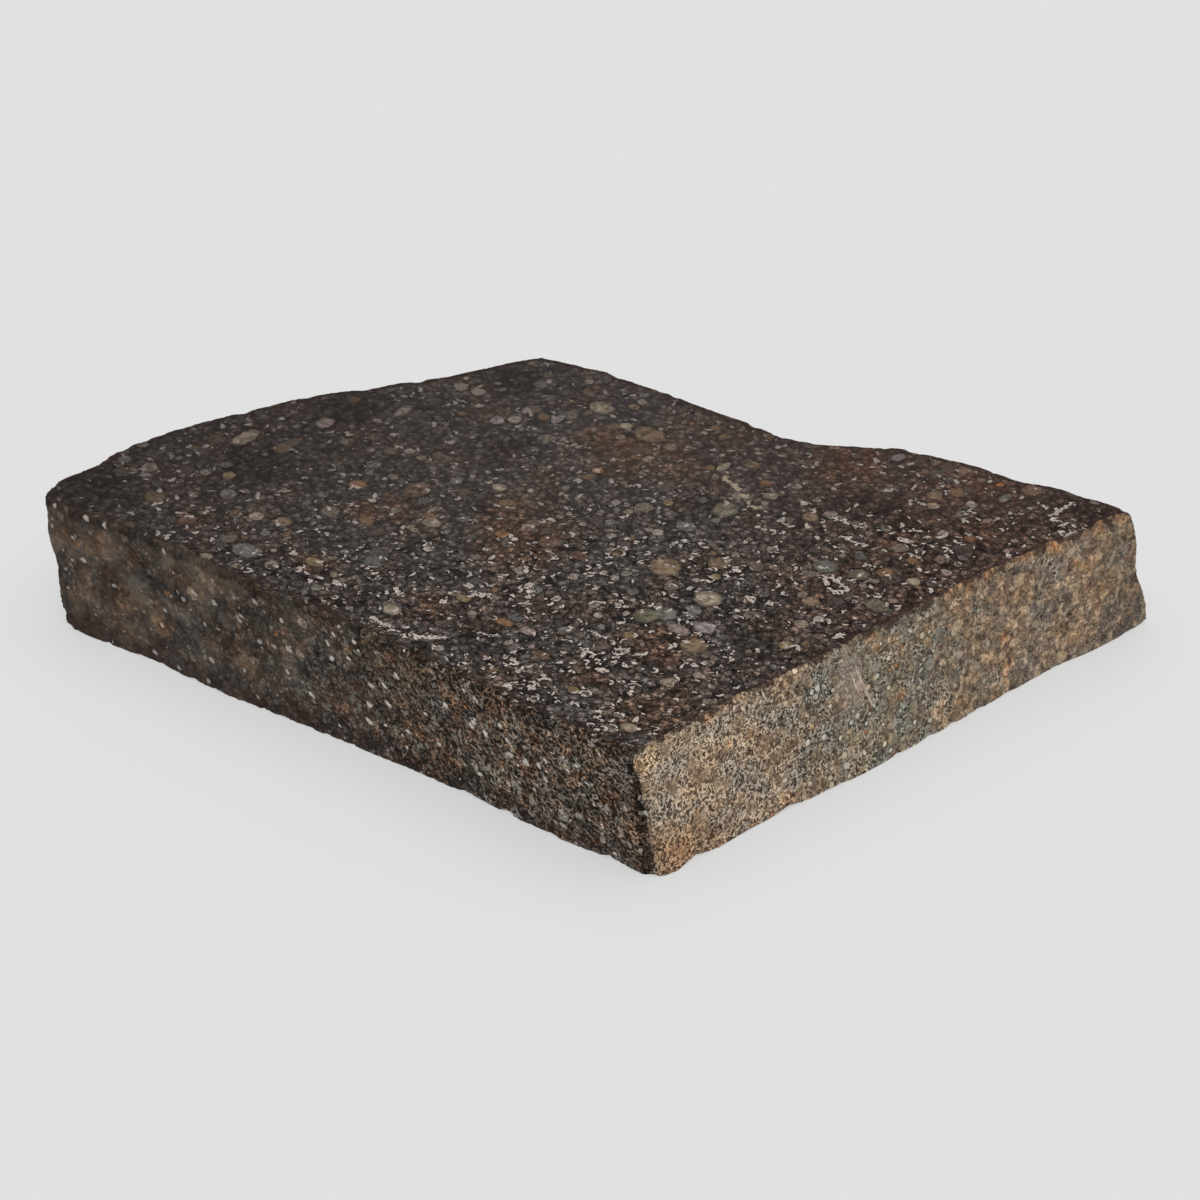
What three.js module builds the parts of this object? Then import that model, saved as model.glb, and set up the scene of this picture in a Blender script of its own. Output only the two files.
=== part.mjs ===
// A part slice of a stony meteorite (an ordinary chondrite), in one piece of stone.
// Two flat faces lie parallel: the underside as sawn, and the polished top. Two side walls are
// sawn too, and meet at the near corner. The other two sides are the stone's own weathered rim.
// Millimetres, +Z up, +X along the long sawn wall; the origin is the middle of the underside's box.

import * as THREE from 'three';
import { ImprovedNoise } from 'three/addons/math/ImprovedNoise.js';

// Driving dimensions. The plan is drawn from the near corner, and is centred at the end.
const THICKNESS = 9.0;

// Facets: their width round the stone, and their rows up a wall between its eased arrises.
const FACET_WIDTH = 0.82;
const WALL_LEVELS = 13;

// A wall follows the line of its upright arris over ARRIS_REACH, and its relief dies out to
// nothing over the last ARRIS_FADE before it.
const ARRIS_REACH = 5;
const ARRIS_FADE = 1.6;

// Small relief on the lumps of every wall, and the spacing of the bites out of the long arrises.
const PEBBLE_SIZE = 1.1;
const PEBBLE_SHARE = 0.35;
const BITE_SPACING = 1.8;
const BITE_RARITY = 0.1;

// The four upright arrises as [height, x, y]. Each leans or steps a little on its way up.
const ARRISES = {
  near: [
    [0, 0.95, 0.4], [0.6, 0.85, 0.3], [1.6, 0.7, 0.2], [3.4, 0.6, 0.1], [4.4, 0.6, 0.1],
    [5.5, 0.35, -0.05], [6.7, 0.3, -0.1], [7.6, 0, -0.3], [8.3, -0.1, -0.4], [9, 0, -0.3],
  ],
  right: [
    [0, 10.3, 41.6], [0.8, 10.25, 41.6], [1.8, 10.15, 41.35], [3.0, 10.05, 40.9], [3.9, 9.9, 40.4],
    [5.2, 9.85, 40.15], [6.4, 9.85, 40.1], [7.8, 9.75, 39.7], [9, 9.5, 39.4],
  ],
  back: [
    [0, -30.9, 32.6], [3, -31.7, 33.4], [6, -31.9, 33.3], [9, -31.6, 32.8],
  ],
  left: [
    [0, -43.75, -0.65], [0.3, -44.05, -0.55], [1.2, -44.2, -0.45], [1.7, -44.6, -0.4], [4.0, -44.65, -0.3],
    [5.2, -44.85, -0.3], [5.7, -45.15, -0.3], [8.0, -45.3, -0.3], [9, -45.45, -0.25],
  ],
};

// The surfaces: topEase and footEase are the least wear of the edges, bites what more they lose in
// places, bulge the belly of the wall, and lumps the height of its relief.
const SAWN_FACE = { topEase: 0.1, footEase: 0.06, bites: 0.3, bulge: 0, lumps: 0.07, lumpSize: 2.6 };
const ROUGH_SAWN_FACE = { topEase: 0.22, footEase: 0.06, bites: 0.28, bulge: 0, lumps: 0.16, lumpSize: 1.9 };
const NATURAL_RIM = { topEase: 0.14, footEase: 0.2, bites: 0.35, bulge: 0.7, lumps: 0.5, lumpSize: 3.4 };

// The walls, counter-clockwise from above. Each spans two arrises, and its top edge and foot pass
// through the points between them. Hollows are dishes, placed by their distance along the wall.
const WALLS = [
  {
    // The short sawn wall, with its foot set out, and a nick low down beside the near corner.
    from: 'near',
    to: 'right',
    surface: SAWN_FACE,
    top: [
      [0.9, 4.4], [1.7, 8.4], [2.6, 12.1], [3.5, 16.1], [4.65, 21.3], [5.6, 26.4], [7.2, 32.3], [8.3, 35.5],
    ],
    foot: [
      [1.55, 1.3], [1.8, 3.0], [1.75, 3.6], [2.3, 5.0], [2.55, 6.6], [3.3, 10.1], [4.95, 16.2], [6.35, 23.1],
      [7.7, 30.3], [8.45, 33.9], [9.5, 37.2],
    ],
    hollows: [],
  },
  {
    // The far rim. It flares towards its foot, and steps in where a flake has come away.
    from: 'right',
    to: 'back',
    surface: NATURAL_RIM,
    top: [
      [8.6, 39.55], [7.2, 39.5], [4.5, 39.2], [2.0, 38.45], [-0.9, 38.35], [-3.6, 37.95], [-6.2, 37.25],
      [-8.4, 36.0], [-10.6, 34.65], [-13.3, 34.15], [-17.9, 34.0], [-22.6, 33.95], [-27.4, 33.8],
      [-30.3, 33.3],
    ],
    foot: [
      [6.5, 41.4], [2.2, 40.7], [-2.4, 40.4], [-6.6, 38.9], [-10.0, 36.5], [-14.5, 35.3], [-20.0, 35.5],
      [-26.0, 34.6],
    ],
    hollows: [
      { along: 7, height: 5.6, radius: 3.4, depth: 0.8 },
      { along: 13.5, height: 3.0, radius: 2.6, depth: 0.6 },
      { along: 19, height: 5.8, radius: 2.4, depth: 0.9 },
      { along: 27, height: 4.2, radius: 3.6, depth: 0.9 },
      { along: 34.5, height: 6.2, radius: 2.8, depth: 0.7 },
      { along: 39, height: 2.8, radius: 2.4, depth: 0.5 },
    ],
  },
  {
    // The curved end rim. It is undercut, with shallow thumb-mark hollows.
    from: 'back',
    to: 'left',
    surface: NATURAL_RIM,
    top: [
      [-33.0, 30.3], [-35.2, 26.7], [-37.5, 23.3], [-39.2, 21.2], [-41.4, 17.8], [-43.2, 14.0], [-44.9, 10.0],
      [-45.6, 6.9], [-45.75, 3.8], [-46.2, 1.7], [-46.0, 0.6],
    ],
    foot: [[-33.8, 27.6], [-37.2, 21.5], [-40.3, 15.8], [-42.4, 10.2], [-43.4, 5.0], [-43.7, 1.6]],
    hollows: [
      { along: 5, height: 4.6, radius: 3.0, depth: 0.8 },
      { along: 12, height: 6.0, radius: 2.7, depth: 0.6 },
      { along: 18.5, height: 3.2, radius: 3.3, depth: 0.8 },
      { along: 26, height: 5.4, radius: 3.0, depth: 0.7 },
      { along: 31.5, height: 2.6, radius: 2.2, depth: 0.5 },
    ],
  },
  {
    // The long sawn wall. It is the rougher one, and its top edge runs out towards the near corner.
    from: 'left',
    to: 'near',
    surface: ROUGH_SAWN_FACE,
    top: [
      [-43.9, -0.5], [-40.3, -0.25], [-37.3, -0.1], [-28.2, -0.15], [-22.0, -0.1], [-14.5, -0.35],
      [-8.0, -0.8], [-3.4, -0.9], [-1.0, -0.6],
    ],
    foot: [
      [-39.7, -0.4], [-36.5, -0.15], [-33.1, -0.35], [-25.3, 0], [-16.3, 0.35], [-11.7, 0.35], [-5.6, 0.1],
      [-1.6, 0.35], [0.2, 0.25],
    ],
    hollows: [],
  },
];

const noise = new ImprovedNoise();

// The plan point of an arris at a height, straight between its stations.
function arrisAt(stations, height) {
  const next = Math.max(1, stations.findIndex(([level]) => level >= height));
  const [lowLevel, lowX, lowY] = stations[next - 1];
  const [highLevel, highX, highY] = stations[next];
  const share = (height - lowLevel) / (highLevel - lowLevel);
  return new THREE.Vector2(lowX, lowY).lerp(new THREE.Vector2(highX, highY), share);
}

// A smooth edge in plan, from one arris to the next through the points between.
function edgeCurve(wall, points, height) {
  const ends = [arrisAt(ARRISES[wall.from], height), arrisAt(ARRISES[wall.to], height)];
  const plan = [ends[0].toArray(), ...points, ends[1].toArray()];
  return new THREE.CatmullRomCurve3(plan.map(([x, y]) => new THREE.Vector3(x, y, 0)), false, 'centripetal');
}

// A point of a wall before its relief: it is ruled from foot to top, and near each arris it bends
// to follow that arris's own line.
function smoothWallPoint(wall, along, height) {
  const rise = height / THICKNESS;
  const foot = wall.footEdge.getPointAt(along);
  const top = wall.topEdge.getPointAt(along);
  const start = arrisAt(ARRISES[wall.from], height);
  const end = arrisAt(ARRISES[wall.to], height);
  const startChord = arrisAt(ARRISES[wall.from], 0).lerp(arrisAt(ARRISES[wall.from], THICKNESS), rise);
  const endChord = arrisAt(ARRISES[wall.to], 0).lerp(arrisAt(ARRISES[wall.to], THICKNESS), rise);
  const point = new THREE.Vector2(foot.x, foot.y).lerp(new THREE.Vector2(top.x, top.y), rise);
  const fromStart = along * wall.length / ARRIS_REACH;
  const fromEnd = (1 - along) * wall.length / ARRIS_REACH;
  point.addScaledVector(start.sub(startChord), 1 - THREE.MathUtils.smoothstep(fromStart, 0, 1));
  point.addScaledVector(end.sub(endChord), 1 - THREE.MathUtils.smoothstep(fromEnd, 0, 1));
  return point;
}

// Smooth noise through the stone, about -1 to 1, with lumps of the given size.
function lumpiness(point, height, size) {
  return noise.noise(point.x / size, point.y / size, height / size);
}

// How far the surface stands out from the smooth wall: a belly, lumps, and the hollows as dishes.
function reliefOf(column, point, height) {
  const { surface, hollows, length } = column.wall;
  const rise = height / THICKNESS;
  const belly = 4 * rise * (1 - rise);
  const lump = lumpiness(point, height, surface.lumpSize);
  const pebble = lumpiness(point, height, PEBBLE_SIZE);
  const distance = column.along * length;
  let relief = surface.bulge * belly + surface.lumps * (lump + PEBBLE_SHARE * pebble) * Math.sqrt(belly);
  for (const hollow of hollows) {
    const spread = Math.hypot(distance - hollow.along, height - hollow.height) / hollow.radius;
    relief -= hollow.depth * THREE.MathUtils.smoothstep(1 - spread, 0, 1);
  }
  const fromArris = Math.min(distance, length - distance);
  return relief * THREE.MathUtils.smoothstep(fromArris, 0, ARRIS_FADE);
}

// How much of a top or bottom arris is worn away at a point of it, with a bite here and there.
function arrisLoss(point, height, ease, bites) {
  const chance = lumpiness(point, height, BITE_SPACING);
  return ease + bites * Math.max(0, chance - BITE_RARITY) * 2;
}

// The outward normal in plan at each point of a closed counter-clockwise ring.
function ringNormals(ring) {
  return ring.map((_, i) => {
    const before = ring[(i + ring.length - 1) % ring.length];
    const after = ring[(i + 1) % ring.length];
    return new THREE.Vector2(after.y - before.y, before.x - after.x).normalize();
  });
}

// One closed ring round the stone at a share of its height, between the eased arrises.
function wallRing(columns, share) {
  const heights = columns.map(({ footLoss, topLoss }) =>
    THREE.MathUtils.lerp(footLoss, THICKNESS - topLoss, share));
  const smooth = columns.map((column, i) => smoothWallPoint(column.wall, column.along, heights[i]));
  const normals = ringNormals(smooth);
  return smooth.map((point, i) => {
    const relief = reliefOf(columns[i], point, heights[i]);
    return new THREE.Vector3(point.x + normals[i].x * relief, point.y + normals[i].y * relief, heights[i]);
  });
}

// The rim of a flat face: a wall ring drawn in by what its arris has lost.
function faceRing(ring, losses, height) {
  const normals = ringNormals(ring);
  return ring.map((point, i) =>
    new THREE.Vector3(point.x - normals[i].x * losses[i], point.y - normals[i].y * losses[i], height));
}

function slabGeometry() {
  for (const wall of WALLS) {
    wall.topEdge = edgeCurve(wall, wall.top, THICKNESS);
    wall.footEdge = edgeCurve(wall, wall.foot, 0);
    wall.length = wall.topEdge.getLength();
  }
  const columns = WALLS.flatMap((wall) => {
    const count = Math.round(wall.length / FACET_WIDTH);
    return Array.from({ length: count }, (_, i) => ({ wall, along: i / count }));
  });
  for (const column of columns) {
    const { topEase, footEase, bites } = column.wall.surface;
    const top = column.wall.topEdge.getPointAt(column.along);
    column.topLoss = arrisLoss(top, THICKNESS, topEase, bites);
    column.footLoss = arrisLoss(top, 0, footEase, bites);
  }

  const walls = Array.from({ length: WALL_LEVELS + 1 }, (_, level) => wallRing(columns, level / WALL_LEVELS));
  const rings = [
    faceRing(walls[0], columns.map(({ footLoss }) => footLoss), 0),
    ...walls,
    faceRing(walls.at(-1), columns.map(({ topLoss }) => topLoss), THICKNESS),
  ];

  const around = columns.length;
  const triangles = [];
  for (let level = 0; level < rings.length - 1; level += 1) {
    for (let i = 0; i < around; i += 1) {
      const j = (i + 1) % around;
      const [low, lowNext] = [level * around + i, level * around + j];
      const [high, highNext] = [low + around, lowNext + around];
      triangles.push(low, lowNext, highNext, low, highNext, high);
    }
  }
  const topStart = (rings.length - 1) * around;
  for (const [a, b, c] of THREE.ShapeUtils.triangulateShape(rings.at(-1), [])) {
    triangles.push(topStart + a, topStart + b, topStart + c);
  }
  for (const [a, b, c] of THREE.ShapeUtils.triangulateShape(rings[0], [])) {
    triangles.push(a, c, b);
  }

  const geometry = new THREE.BufferGeometry().setFromPoints(rings.flat());
  geometry.setIndex(triangles);
  geometry.computeBoundingBox();
  const middle = geometry.boundingBox.getCenter(new THREE.Vector3());
  geometry.translate(-middle.x, -middle.y, 0);
  geometry.computeVertexNormals();
  return geometry;
}

const stone = new THREE.MeshStandardMaterial({ color: 0x4d453e, roughness: 0.55, metalness: 0.05 });
const slab = new THREE.Mesh(slabGeometry(), stone);
slab.name = 'slab';

const meteorite = new THREE.Group();
meteorite.add(slab);

export default meteorite;
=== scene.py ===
import math

import bpy
import numpy as np
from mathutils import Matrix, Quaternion, Vector, noise
from mathutils.bvhtree import BVHTree


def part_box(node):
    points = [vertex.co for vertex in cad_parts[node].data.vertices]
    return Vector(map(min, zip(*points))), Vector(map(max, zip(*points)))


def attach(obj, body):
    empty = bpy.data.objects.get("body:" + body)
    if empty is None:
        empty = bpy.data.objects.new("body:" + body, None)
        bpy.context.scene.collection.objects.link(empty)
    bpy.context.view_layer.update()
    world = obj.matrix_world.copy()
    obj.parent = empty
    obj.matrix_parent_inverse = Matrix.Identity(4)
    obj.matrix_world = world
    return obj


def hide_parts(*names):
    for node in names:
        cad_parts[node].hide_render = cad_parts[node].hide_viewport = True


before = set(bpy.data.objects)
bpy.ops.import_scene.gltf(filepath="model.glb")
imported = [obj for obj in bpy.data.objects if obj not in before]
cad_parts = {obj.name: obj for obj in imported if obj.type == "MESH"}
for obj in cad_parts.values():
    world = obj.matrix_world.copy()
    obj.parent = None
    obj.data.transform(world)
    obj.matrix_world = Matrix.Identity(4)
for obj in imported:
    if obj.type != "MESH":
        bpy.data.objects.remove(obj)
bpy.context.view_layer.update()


# The cut stone. A part slice of a chondrite, sawn on its underside, its top and two of its walls;
# the rest of its edge is the meteorite's own weathered rim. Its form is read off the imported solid,
# in upright columns round the edge, and then gets the saw's and the weather's fine relief.

MM = 0.001
# The wall is first tried on even bearings, and then read in columns of even width. The rows lie closer
# together towards the top and bottom arrises, at these heights in mm from each.
BEARINGS_TRIED, COLUMNS, ROWS_BETWEEN = 1441, 1290, 57
HEIGHTS_NEAR_ARRIS = (0.0, 0.035, 0.08, 0.14, 0.21, 0.3, 0.4)
JUST_INSIDE = 0.001

slab_low, slab_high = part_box("slab")
thickness = (slab_high.z - slab_low.z) / MM
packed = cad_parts["slab"].data
packed_surface = BVHTree.FromPolygons(
    [vertex.co for vertex in packed.vertices], [face.vertices for face in packed.polygons]
)


def wall_point(bearing, height):
    """Where a level line, coming in towards the slab's upright axis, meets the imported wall, in mm."""
    outward = Vector((math.cos(bearing), math.sin(bearing), 0))
    level = min(max(height, JUST_INSIDE), thickness - JUST_INSIDE)
    start = outward * 2 * slab_high.x + Vector((0, 0, level * MM))
    met = packed_surface.ray_cast(start, -outward)[0]
    return met / MM


bearings = np.linspace(-math.pi, math.pi, BEARINGS_TRIED)
girdle = np.array([wall_point(bearing, thickness / 2) for bearing in bearings])
walked = np.concatenate([[0], np.cumsum(np.linalg.norm(np.diff(girdle, axis=0), axis=1))])
column_walk = np.arange(COLUMNS) * walked[-1] / COLUMNS
column_bearings = np.interp(column_walk, walked, bearings)

between = np.linspace(HEIGHTS_NEAR_ARRIS[-1], thickness - HEIGHTS_NEAR_ARRIS[-1], ROWS_BETWEEN + 1)
heights = [
    *HEIGHTS_NEAR_ARRIS[:-1],
    *between,
    *(thickness - height for height in reversed(HEIGHTS_NEAR_ARRIS[:-1])),
]
wall = np.array([[wall_point(bearing, height) for bearing in column_bearings] for height in heights])

# Each column's outward direction in plan, smoothed over the width of a packed facet.
FACET_SPAN = 6
ahead = np.roll(wall, -FACET_SPAN, axis=1)
behind = np.roll(wall, FACET_SPAN, axis=1)
outward = np.stack([ahead[..., 1] - behind[..., 1], behind[..., 0] - ahead[..., 0]], axis=-1)
outward /= np.linalg.norm(outward, axis=-1, keepdims=True)
facing = np.degrees(np.arctan2(outward[..., 1], outward[..., 0]))

# Which finish a stretch of the wall has, by the way it faces in plan, in degrees from +X.
TOP, SHORT_WALL, LONG_WALL, RIM, UNDERSIDE = range(5)
LONG_WALL_STARTS, SHORT_WALL_STARTS, RIM_STARTS = -135, -50, 35
finish = np.full(facing.shape, RIM)
finish[(facing > SHORT_WALL_STARTS) & (facing < RIM_STARTS)] = SHORT_WALL
finish[(facing >= LONG_WALL_STARTS) & (facing <= SHORT_WALL_STARTS)] = LONG_WALL

# Relief of each finish in mm: grain of the broken crystals, waves of the saw or the weather,
# pits where grains pulled out, and chips along the top and bottom arrises.
RELIEF = {
    SHORT_WALL: {"grain": 0.030, "wave": 0.03, "pit": 0.07, "chip": 0.16, "ease": 0.03},
    LONG_WALL: {"grain": 0.055, "wave": 0.05, "pit": 0.14, "chip": 0.26, "ease": 0.05},
    RIM: {"grain": 0.060, "wave": 0.16, "pit": 0.16, "chip": 0.22, "ease": 0.10},
}
# How many mm apart the swells of each kind are, and where the pattern of the last three starts.
GRAIN_SPAN, WAVE_SPAN, PIT_SPAN, CHIP_SPAN, CRUMB_SPAN = 0.42, 2.3, 0.62, 1.15, 0.38
PIT_START, CHIP_START, CRUMB_START = Vector((9, 4, 2)), Vector((3, 7, 5)), Vector((1, 8, 6))
# The grain has swells in swells: how fast they weaken, how much finer each is, and how many there are.
GRAIN_FALL, GRAIN_STEP, GRAIN_OCTAVES = 0.8, 2.1, 2
# A pit or a chip starts where its swell passes a level, and grows with it.
PIT_LEVEL, PIT_GROWTH = 0.32, 2.4
CHIP_LEVEL, CHIP_GROWTH, CRUMB_GROWTH = 0.12, 2.6, 0.45
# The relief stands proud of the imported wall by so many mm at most.
PROUD_AT_MOST = 0.02

# The upright arris between the two sawn walls, from foot to top. It has crumbled within its reach: a
# little everywhere, and more where the crumbs and the chips of the other arrises would be.
NEAR_ARRIS_FOOT, NEAR_ARRIS_TOP = Vector((18.95, -20.2, 0)), Vector((18.1, -20.8, 9))
CRUMBLED_REACH, CRUMBLED_EVENLY, CRUMBLED_BY_CRUMB, CRUMBLED_BY_CHIP = 0.5, 0.35, 0.9, 0.5


def relief_at(point, height, kind):
    """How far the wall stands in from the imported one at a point, in mm."""
    sizes = RELIEF[kind]
    spot = Vector(point)
    grain = noise.fractal(spot / GRAIN_SPAN, GRAIN_FALL, GRAIN_STEP, GRAIN_OCTAVES)
    wave = noise.noise(spot / WAVE_SPAN)
    pit = max(0.0, noise.noise(spot / PIT_SPAN + PIT_START) - PIT_LEVEL) * PIT_GROWTH
    chance = max(0.0, noise.noise(spot / CHIP_SPAN + CHIP_START) - CHIP_LEVEL)
    crumb = abs(noise.noise(spot / CRUMB_SPAN + CRUMB_START))
    bite = sizes["ease"] + sizes["chip"] * (CHIP_GROWTH * chance + CRUMB_GROWTH * crumb)
    from_arris = min(height, thickness - height)
    chipped = max(0.0, bite - from_arris)
    near_arris = NEAR_ARRIS_FOOT.lerp(NEAR_ARRIS_TOP, height / thickness)
    inside_reach = max(0.0, CRUMBLED_REACH - (spot - near_arris).length)
    crumbled = inside_reach * (CRUMBLED_EVENLY + CRUMBLED_BY_CRUMB * crumb + CRUMBLED_BY_CHIP * chance)
    return sizes["grain"] * grain + sizes["wave"] * wave + sizes["pit"] * pit + chipped + crumbled


vertices = []
for row, height in enumerate(heights):
    for column in range(COLUMNS):
        point = wall[row, column]
        depth = relief_at(point, height, finish[row, column])
        moved = point[:2] - outward[row, column] * max(depth, -PROUD_AT_MOST)
        vertices.append((moved[0] * MM, moved[1] * MM, height * MM))

faces = []
face_finish = []
for row in range(len(heights) - 1):
    for column in range(COLUMNS):
        beside = (column + 1) % COLUMNS
        low = row * COLUMNS
        high = low + COLUMNS
        faces.append((low + column, low + beside, high + beside, high + column))
        face_finish.append(int(finish[row, column]))

# Round the top runs a narrow band of its own, over which a dark edge of skin and painted shade fades.
BAND = 0.8 * MM
top_ring = (len(heights) - 1) * COLUMNS
band_ring = len(vertices)
for x, y, z in vertices[top_ring:]:
    reach = math.hypot(x, y)
    vertices.append((x * (1 - BAND / reach), y * (1 - BAND / reach), z))
for column in range(COLUMNS):
    beside = (column + 1) % COLUMNS
    faces.append((top_ring + column, top_ring + beside, band_ring + beside, band_ring + column))
    face_finish.append(TOP)
faces.append([band_ring + column for column in range(COLUMNS)])
face_finish.append(TOP)
faces.append([column for column in reversed(range(COLUMNS))])
face_finish.append(UNDERSIDE)

slab_mesh = bpy.data.meshes.new("meteorite_slice")
slab_mesh.from_pydata(vertices, [], faces)
slab_mesh.update()
slab_mesh.polygons.foreach_set("material_index", face_finish)
flat = [kind in (TOP, UNDERSIDE) for kind in face_finish]
slab_mesh.polygons.foreach_set("use_smooth", [not is_flat for is_flat in flat])
skin_and_shade_share = slab_mesh.attributes.new("skin", "FLOAT", "POINT")
skin_and_shade_share.data.foreach_set("value", [float(index < band_ring) for index in range(len(vertices))])
slice_piece = bpy.data.objects.new("meteorite_slice", slab_mesh)
bpy.context.scene.collection.objects.link(slice_piece)


# What the stone is made of. Dark fine matrix, packed with chondrules (frozen droplets of rock, from
# dust size to a millimetre and a half), with metal and sulphide between them. It is one solid
# pattern right through the slab, so a grain runs on from the top into a wall.


def paint(red, green, blue):
    """A colour as mixed on a palette of 0 to 255, turned into the light that it gives back."""
    shares = [part / 255 for part in (red, green, blue)]
    linear = [part / 12.92 if part <= 0.04045 else ((part + 0.055) / 1.055) ** 2.4 for part in shares]
    return (*linear, 1.0)


def tones(*stops):
    """A run of colours along a value, each as (place, red, green, blue), mixed as paint is."""
    return [(place, paint(*mixed)) for place, *mixed in stops]


def feed(tree, value, socket):
    """Sets a socket to a plain value, or links another socket to it."""
    if isinstance(value, bpy.types.NodeSocket):
        tree.links.new(value, socket)
    else:
        socket.default_value = value


def add_node(tree, kind, inputs, output=0, **settings):
    """One node with its settings and inputs; gives back one of its output sockets, or all with None."""
    node = tree.nodes.new(kind)
    for name, value in settings.items():
        setattr(node, name, value)
    for name, value in inputs.items():
        feed(tree, value, node.inputs[name])
    return node.outputs if output is None else node.outputs[output]


def reckon(tree, operation, *values):
    """Arithmetic on plain numbers."""
    return add_node(tree, "ShaderNodeMath", dict(enumerate(values)), operation=operation)


def triple(tree, operation, *values, output=0):
    """Arithmetic on three numbers at once; a length, distance or dot product comes at output 1."""
    return add_node(tree, "ShaderNodeVectorMath", dict(enumerate(values)), output, operation=operation)


def times(tree, first, second):
    """One number times another."""
    return reckon(tree, "MULTIPLY", first, second)


def axis_of(tree, point, axis):
    """How far a point lies along X, Y or Z."""
    return add_node(tree, "ShaderNodeSeparateXYZ", {0: point}, output=axis)


def fade(tree, value, start, end, low=0.0, high=1.0, smooth=True):
    """A number that goes from low to high while value goes from start to end."""
    places = {"Value": value, "From Min": start, "From Max": end, "To Min": low, "To Max": high}
    kind = "SMOOTHSTEP" if smooth else "LINEAR"
    return add_node(tree, "ShaderNodeMapRange", places, interpolation_type=kind)


def blend(tree, share, under, over, mode="MIX"):
    """One colour over another, by a share from 0 to 1."""
    node = tree.nodes.new("ShaderNodeMix")
    node.data_type = "RGBA"
    node.blend_type = mode
    node.clamp_factor = True
    feed(tree, share, node.inputs[0])
    feed(tree, under, node.inputs[6])
    feed(tree, over, node.inputs[7])
    return node.outputs[2]


def cloud(tree, point, per_mm, detail=2.0, roughness=0.5, distortion=0.0, output=0):
    """Smooth noise with so many swells to a millimetre, about 0.5 on average."""
    inputs = {
        "Vector": point,
        "Scale": per_mm,
        "Detail": detail,
        "Roughness": roughness,
        "Distortion": distortion,
    }
    return add_node(tree, "ShaderNodeTexNoise", inputs, output)


def ramp(tree, value, stops, stepped=False):
    """Colours along a value, each as (place, colour)."""
    node = tree.nodes.new("ShaderNodeValToRGB")
    node.color_ramp.interpolation = "CONSTANT" if stepped else "LINEAR"
    elements = node.color_ramp.elements
    while len(elements) < len(stops):
        elements.new(1.0)
    for element, (place, colour) in zip(elements, stops):
        element.position = place
        element.color = colour
    feed(tree, value, node.inputs[0])
    return node.outputs[0]


def new_group(name, inputs, outputs):
    """An empty node group with the sockets named; gives it back with its two ends."""
    group = bpy.data.node_groups.new(name, "ShaderNodeTree")
    for socket_name, kind in inputs.items():
        group.interface.new_socket(socket_name, in_out="INPUT", socket_type=kind)
    for socket_name, kind in outputs.items():
        group.interface.new_socket(socket_name, in_out="OUTPUT", socket_type=kind)
    return group, group.nodes.new("NodeGroupInput").outputs, group.nodes.new("NodeGroupOutput").inputs


def use_group(tree, group, inputs):
    """A group put into a tree, with its inputs; gives back its outputs."""
    node = tree.nodes.new("ShaderNodeGroup")
    node.node_tree = group
    for name, value in inputs.items():
        feed(tree, value, node.inputs[name])
    return node.outputs


def dim(tree, colour, factor):
    """A colour made lighter or darker by a factor."""
    node = triple(tree, "SCALE", colour).node
    feed(tree, factor, node.inputs["Scale"])
    return node.outputs[0]


def crumble(tree, colour, crumb, low, high):
    """A colour broken up by the stone's crumbs, from a low to a high factor."""
    return dim(tree, colour, fade(tree, crumb, 0.38, 0.62, low, high, smooth=False))


def tint(tree, colour, other):
    """A colour multiplied by another."""
    return blend(tree, 1.0, colour, other, mode="MULTIPLY")


def near_line(tree, point, start, end):
    """How far a point is from a straight line between two places, in mm."""
    run = Vector(end) - Vector(start)
    from_start = triple(tree, "SUBTRACT", point, start)
    along = triple(tree, "DOT_PRODUCT", from_start, run / run.length_squared, output=1)
    along = fade(tree, along, 0.0, 1.0, smooth=False)
    nearest = triple(tree, "SCALE", run)
    feed(tree, along, nearest.node.inputs["Scale"])
    return triple(tree, "DISTANCE", from_start, nearest, output=1)


# Farther off than anything that is looked for, in mm or in half sizes.
FAR_OFF = 9.0


def lay(tree, colour, point, ragged, features, edge, share, mode="MIX"):
    """Lays ellipsoids of other stone into a colour: for each tone a list of (middle, half sizes). Ragged
    is noise that frays their edges. Also gives how far off the nearest one is, in half sizes."""
    nearest = FAR_OFF
    outer = fade(tree, ragged, 0.0, 1.0, 1.45 + edge, 0.55 + edge, smooth=False)
    inner = reckon(tree, "SUBTRACT", outer, 2 * edge)
    for tone, spots in features.items():
        reached = FAR_OFF
        for middle, halves in spots:
            shrink = [1 / half for half in halves]
            shift = [-centre / half for centre, half in zip(middle, halves)]
            distance = triple(tree, "LENGTH", triple(tree, "MULTIPLY_ADD", point, shrink, shift), output=1)
            reached = reckon(tree, "MINIMUM", reached, distance)
        nearest = reckon(tree, "MINIMUM", nearest, reached)
        colour = blend(tree, fade(tree, reached, outer, inner, 0.0, share), colour, tone, mode)
    return colour, reckon(tree, "SUBTRACT", reckon(tree, "ADD", nearest, 1 + edge), outer)


X, Y, Z = range(3)
VECTOR, NUMBER, COLOUR = "NodeSocketVector", "NodeSocketFloat", "NodeSocketColor"

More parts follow.
